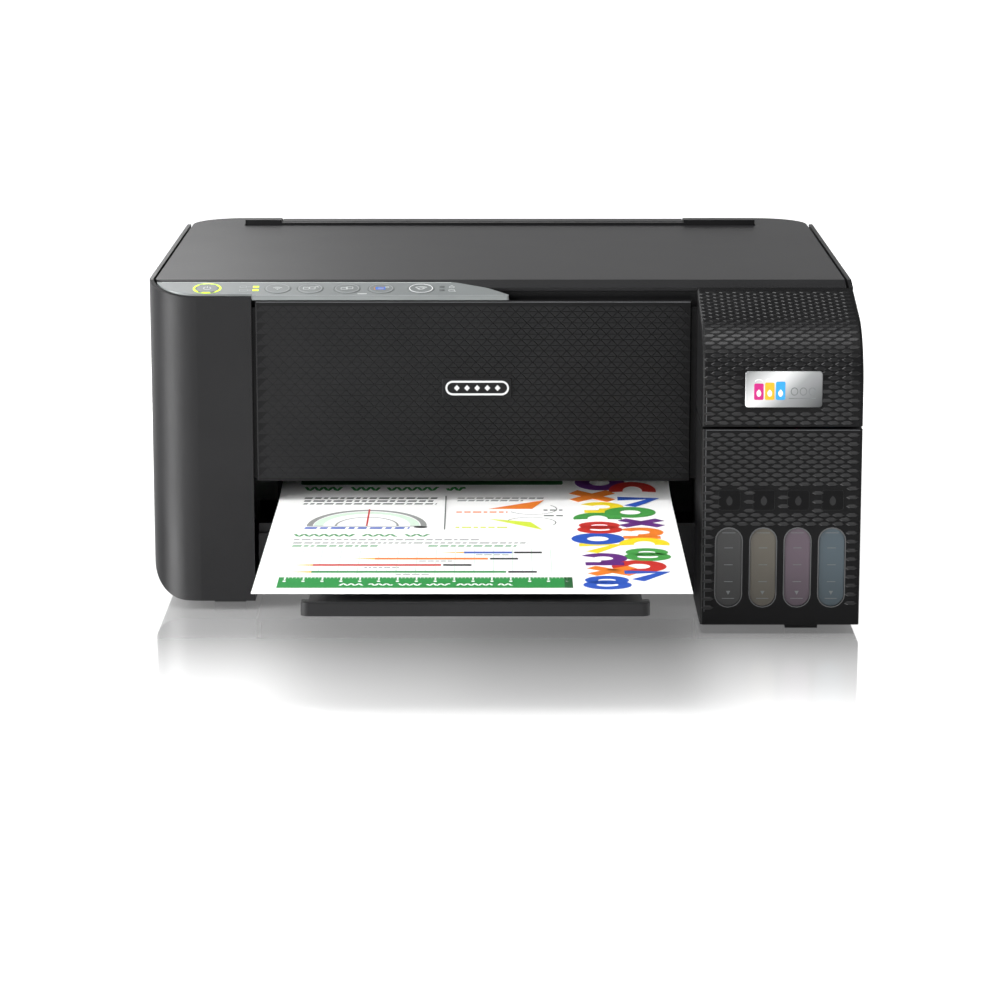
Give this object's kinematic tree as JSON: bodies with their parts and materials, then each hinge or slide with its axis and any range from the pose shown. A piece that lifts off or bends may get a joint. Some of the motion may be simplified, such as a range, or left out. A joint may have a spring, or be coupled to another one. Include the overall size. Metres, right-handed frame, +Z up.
{
  "type": "inkjet printer",
  "caption": "All-in-one inkjet printer with a flatbed scanner, refillable ink tanks at the right, a rear paper feed and a two-stage output tray holding a printed sheet.",
  "frame": {"origin": "middle of the case's footprint on the surface it stands on", "axes": "+X to the printer's right seen from its front, +Y to its back, +Z up"},
  "size_m": [0.375, 0.5053, 0.179],
  "materials": {
    "case_black": "fine matt texture",
    "panel_black": "fine diamond relief",
    "strip_grey": "satin",
    "button_grey": "satin",
    "lamp_green": "lit lens",
    "tray_black": "fine matt texture",
    "silver_plate": "satin",
    "tank_clear": "milky",
    "cap_black": "gloss",
    "cap_yellow": "gloss",
    "cap_magenta": "gloss",
    "cap_cyan": "gloss",
    "rubber_black": "matt",
    "paper_white": "coated",
    "steel": "zinc plated",
    "inner_grey": "moulded",
    "gear_white": "acetal",
    "board_green": "solder mask",
    "glass_clear": "polished",
    "foam_white": "white foam pad"
  },
  "bodies": {
    "printer_body": {"left_side_case": "case_black", "right_side_case": "case_black", "rear_case": "case_black", "tank_front_case": "case_black", "rear_feed_housing": "case_black", "front_panel": "panel_black", "base_chassis": "inner_grey", "platen": "inner_grey", "capping_station": "inner_grey", "front_mark": "silver_plate", "ink_tanks": "tank_clear", "rubber_feet": "rubber_black", "timing_belt": "rubber_black", "main_frame": "steel", "carriage_rail": "steel", "screws": "steel", "feed_motor": "steel", "carriage_motor": "steel", "power_supply": "steel", "usb_socket": "steel", "main_board": "board_green", "power_inlet": "inner_grey"},
    "scanner_unit": {"scanner_case": "inner_grey", "scanner_top_frame": "inner_grey", "scanner_glass": "glass_clear", "control_panel": "strip_grey", "lamp_lenses": "lamp_green"},
    "scan_head": {"sensor_bar": "inner_grey"},
    "lid": {"document_cover": "case_black", "cover_pad": "foam_white"},
    "tank_lid": {"tank_cover": "case_black", "tank_badge": "silver_plate"},
    "tray": {"output_tray": "tray_black"},
    "tray_end": {"tray_extension": "tray_black"},
    "paper": {"printed_sheet": "paper_white"},
    "print_carriage": {"carriage": "inner_grey", "print_head": "inner_grey"},
    "feed_shaft": {"feed_roller": "rubber_black", "feed_gear": "gear_white"},
    "transfer": {"transfer_gear": "gear_white"},
    "eject_shaft": {"eject_roller": "rubber_black", "eject_gear": "gear_white"},
    "star_shaft": {"star_wheels": "steel"},
    "motor_pulley": {"drive_pulley": "gear_white"},
    "end_pulley": {"idler_pulley": "gear_white"},
    "pick_shaft": {"pick_roller": "rubber_black"},
    "guide_left": {"edge_guide_left": "inner_grey"},
    "guide_right": {"edge_guide_right": "inner_grey"},
    "support": {"paper_support": "case_black"},
    "guard": {"feeder_guard": "case_black"},
    "cap_black": {"tank_cap_black": "cap_black"},
    "cap_yellow": {"tank_cap_yellow": "cap_yellow"},
    "cap_magenta": {"tank_cap_magenta": "cap_magenta"},
    "cap_cyan": {"tank_cap_cyan": "cap_cyan"},
    "power_key": {"power_button": "button_grey"},
    "wireless_key": {"wireless_button": "button_grey"},
    "status_key": {"status_button": "button_grey"},
    "mono_copy_key": {"mono_copy_button": "button_grey"},
    "colour_copy_key": {"colour_copy_button": "button_grey"},
    "stop_key": {"stop_button": "button_grey"}
  },
  "joints": [
    {"name": "scanner_unit_lift", "type": "hinge", "parent": "printer_body", "child": "scanner_unit", "pos_m": [0, 0.161, 0.168], "axis": [-1, 0, 0], "range_deg": [0, 30]},
    {"name": "cover_lift", "type": "hinge", "parent": "scanner_unit", "child": "lid", "pos_m": [0, 0.161, 0.168], "axis": [-1, 0, 0], "range_deg": [0, 85]},
    {"name": "scan_travel", "type": "slide", "parent": "scanner_unit", "child": "scan_head", "axis": [1, 0, 0], "range_m": [0, 0.276]},
    {"name": "tank_cover_flip", "type": "hinge", "parent": "printer_body", "child": "tank_lid", "pos_m": [0, -0.1738, 0.1096], "axis": [1, 0, 0], "range_deg": [0, 100]},
    {"name": "tray_slide", "type": "slide", "parent": "printer_body", "child": "tray", "axis": [0, 1, 0], "range_m": [0, 0.105]},
    {"name": "extension_slide", "type": "slide", "parent": "tray", "child": "tray_end", "axis": [0, 1, 0], "range_m": [0, 0.103]},
    {"name": "sheet_out", "type": "slide", "parent": "printer_body", "child": "paper", "axis": [0, -1, 0], "range_m": [0, 0.12]},
    {"name": "carriage_travel", "type": "slide", "parent": "printer_body", "child": "print_carriage", "axis": [1, 0, 0], "range_m": [-0.27, 0]},
    {"name": "feed_spin", "type": "hinge", "parent": "printer_body", "child": "feed_shaft", "pos_m": [0, 0.04, 0.0603], "axis": [1, 0, 0], "continuous": true},
    {"name": "transfer_spin", "type": "hinge", "parent": "printer_body", "child": "transfer", "pos_m": [0, -0.005, 0.0603], "axis": [1, 0, 0], "continuous": true},
    {"name": "eject_spin", "type": "hinge", "parent": "printer_body", "child": "eject_shaft", "pos_m": [0, -0.045, 0.0603], "axis": [1, 0, 0], "continuous": true},
    {"name": "star_spin", "type": "hinge", "parent": "printer_body", "child": "star_shaft", "pos_m": [0, -0.045, 0.0711], "axis": [1, 0, 0], "continuous": true},
    {"name": "motor_pulley_spin", "type": "hinge", "parent": "printer_body", "child": "motor_pulley", "pos_m": [-0.165, 0.044, 0.102], "axis": [0, 0, 1], "range_deg": [-2400, 10]},
    {"name": "end_pulley_spin", "type": "hinge", "parent": "printer_body", "child": "end_pulley", "pos_m": [0.165, 0.044, 0.102], "axis": [0, 0, 1], "range_deg": [-2400, 10]},
    {"name": "pick_spin", "type": "hinge", "parent": "printer_body", "child": "pick_shaft", "pos_m": [0, 0.12, 0.092], "axis": [1, 0, 0], "continuous": true},
    {"name": "left_guide_slide", "type": "slide", "parent": "printer_body", "child": "guide_left", "axis": [1, 0, 0], "range_m": [-0.008, 0.055]},
    {"name": "right_guide_slide", "type": "slide", "parent": "printer_body", "child": "guide_right", "axis": [1, 0, 0], "range_m": [-0.055, 0.008]},
    {"name": "support_raise", "type": "slide", "parent": "printer_body", "child": "support", "axis": [0, 0, 1], "range_m": [0, 0.085]},
    {"name": "guard_open", "type": "hinge", "parent": "printer_body", "child": "guard", "pos_m": [0, 0.1376, 0.1767], "axis": [1, 0, 0], "range_deg": [0, 90]},
    {"name": "cap_black_open", "type": "hinge", "parent": "printer_body", "child": "cap_black", "pos_m": [0, -0.122, 0.1132], "axis": [-1, 0, 0], "range_deg": [0, 90]},
    {"name": "cap_yellow_open", "type": "hinge", "parent": "printer_body", "child": "cap_yellow", "pos_m": [0, -0.122, 0.1132], "axis": [-1, 0, 0], "range_deg": [0, 90]},
    {"name": "cap_magenta_open", "type": "hinge", "parent": "printer_body", "child": "cap_magenta", "pos_m": [0, -0.122, 0.1132], "axis": [-1, 0, 0], "range_deg": [0, 90]},
    {"name": "cap_cyan_open", "type": "hinge", "parent": "printer_body", "child": "cap_cyan", "pos_m": [0, -0.122, 0.1132], "axis": [-1, 0, 0], "range_deg": [0, 90]},
    {"name": "power_press", "type": "slide", "parent": "scanner_unit", "child": "power_key", "axis": [0, 0.2419, -0.9703], "range_m": [0, 0.0005], "stiffness_N_per_m": 400, "springref_m": -0.0005},
    {"name": "wireless_press", "type": "slide", "parent": "scanner_unit", "child": "wireless_key", "axis": [0, 0.2419, -0.9703], "range_m": [0, 0.0005], "stiffness_N_per_m": 400, "springref_m": -0.0005},
    {"name": "status_press", "type": "slide", "parent": "scanner_unit", "child": "status_key", "axis": [0, 0.2419, -0.9703], "range_m": [0, 0.0005], "stiffness_N_per_m": 400, "springref_m": -0.0005},
    {"name": "mono_copy_press", "type": "slide", "parent": "scanner_unit", "child": "mono_copy_key", "axis": [0, 0.2419, -0.9703], "range_m": [0, 0.0005], "stiffness_N_per_m": 400, "springref_m": -0.0005},
    {"name": "colour_copy_press", "type": "slide", "parent": "scanner_unit", "child": "colour_copy_key", "axis": [0, 0.2419, -0.9703], "range_m": [0, 0.0005], "stiffness_N_per_m": 400, "springref_m": -0.0005},
    {"name": "stop_press", "type": "slide", "parent": "scanner_unit", "child": "stop_key", "axis": [0, 0.2419, -0.9703], "range_m": [0, 0.0005], "stiffness_N_per_m": 400, "springref_m": -0.0005}
  ],
  "couplings": [
    {"joint": "transfer_spin", "follows": "feed_spin", "ratio": -0.8},
    {"joint": "eject_spin", "follows": "feed_spin", "ratio": 1.3333},
    {"joint": "star_spin", "follows": "feed_spin", "ratio": -1.1026},
    {"joint": "motor_pulley_spin", "follows": "carriage_travel", "rad_per_m": 152.67},
    {"joint": "end_pulley_spin", "follows": "carriage_travel", "rad_per_m": 152.67},
    {"joint": "right_guide_slide", "follows": "left_guide_slide", "ratio": -1}
  ]
}
